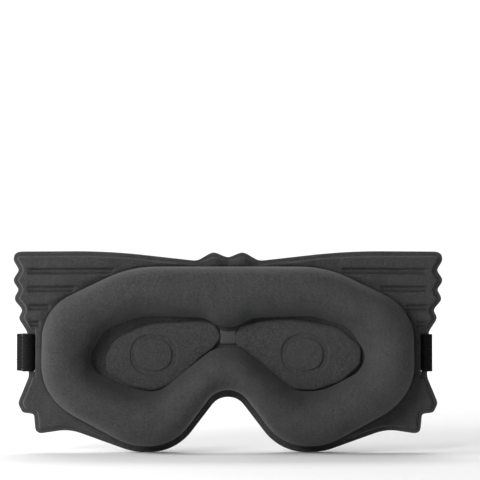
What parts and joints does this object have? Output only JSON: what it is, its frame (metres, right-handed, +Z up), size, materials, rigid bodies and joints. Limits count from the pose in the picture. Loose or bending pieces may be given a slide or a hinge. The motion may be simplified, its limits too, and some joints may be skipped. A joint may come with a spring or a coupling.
{
  "type": "sleep eye mask",
  "caption": "Contoured sleep eye mask: wing-shaped panel, foam face cushion with recessed eye pads, domed front, and an elastic strap halved by a hook and loop closure.",
  "frame": {"origin": "centre of the plane in which the cushion's crest meets the face, at eye height, midway between the eyes", "axes": "+X across the mask to the wearer's left, +Z up, +Y out of the face side towards the wearer"},
  "size_m": [0.2304, 0.039, 0.1078],
  "materials": {
    "front_knit": "near-black fine ribbed knit, matte",
    "face_knit": "charcoal grey brushed knit with a soft sheen",
    "moulded_foam": "moulded closed-cell foam sheet",
    "memory_foam": "slow-rebound foam",
    "wing_foam": "thin pressed foam",
    "blackout_film": "opaque coated film",
    "pad_fleece": "grainy short-pile fleece over foam",
    "bridge_knit": "brushed knit strip",
    "elastic_webbing": "black ribbed elastic webbing",
    "tab_webbing": "black woven nylon webbing",
    "thread": "black polyester sewing thread",
    "pile_tape": "fuzzy black loop pile",
    "hook_tape": "black nylon hooks on a woven base"
  },
  "bodies": {
    "mask": {"outer_cover": "front_knit", "front_foam": "moulded_foam", "blackout_liner": "blackout_film", "cushion_ring": "memory_foam", "face_cover": "face_knit", "upper_wing_foam_left": "wing_foam", "upper_wing_foam_right": "wing_foam", "lower_wing_foam_left": "wing_foam", "lower_wing_foam_right": "wing_foam", "eye_pad_left": "pad_fleece", "eye_pad_right": "pad_fleece", "bridge_strip": "bridge_knit"},
    "loop_left": {"strap_loop_left": "elastic_webbing", "loop_seam_left": "thread"},
    "band_left": {"strap_band_left": "elastic_webbing", "pile_patch": "pile_tape", "pile_seam": "thread"},
    "loop_right": {"strap_loop_right": "elastic_webbing", "loop_seam_right": "thread"},
    "band_right": {"strap_band_right": "elastic_webbing"},
    "tab": {"hook_tab": "tab_webbing", "hook_tape": "hook_tape", "hook_seam": "thread"}
  },
  "joints": [
    {"name": "strap_swing_left", "type": "hinge", "parent": "mask", "child": "loop_left", "pos_m": [0.10675, -0.022, 0], "axis": [0, 0, 1], "range_deg": [0, 150]},
    {"name": "strap_fold_left", "type": "hinge", "parent": "loop_left", "child": "band_left", "pos_m": [0.11391, -0.0344, 0], "axis": [0, 0, 1], "range_deg": [0, 120]},
    {"name": "strap_swing_right", "type": "hinge", "parent": "mask", "child": "loop_right", "pos_m": [-0.10675, -0.022, 0], "axis": [0, 0, 1], "range_deg": [-180, 0]},
    {"name": "strap_fold_right", "type": "hinge", "parent": "loop_right", "child": "band_right", "pos_m": [-0.10675, -0.0381, 0], "axis": [0, 0, 1], "range_deg": [-90, 0]},
    {"name": "tab_peel", "type": "hinge", "parent": "band_right", "child": "tab", "pos_m": [0.04, -0.0381, 0], "axis": [0, 0, -1], "range_deg": [0, 100]}
  ],
  "couplings": [
    {"joint": "strap_fold_left", "follows": "strap_swing_left", "ratio": 0.8},
    {"joint": "strap_swing_right", "follows": "strap_swing_left", "ratio": -1.2},
    {"joint": "strap_fold_right", "follows": "strap_swing_left", "ratio": -0.6}
  ]
}
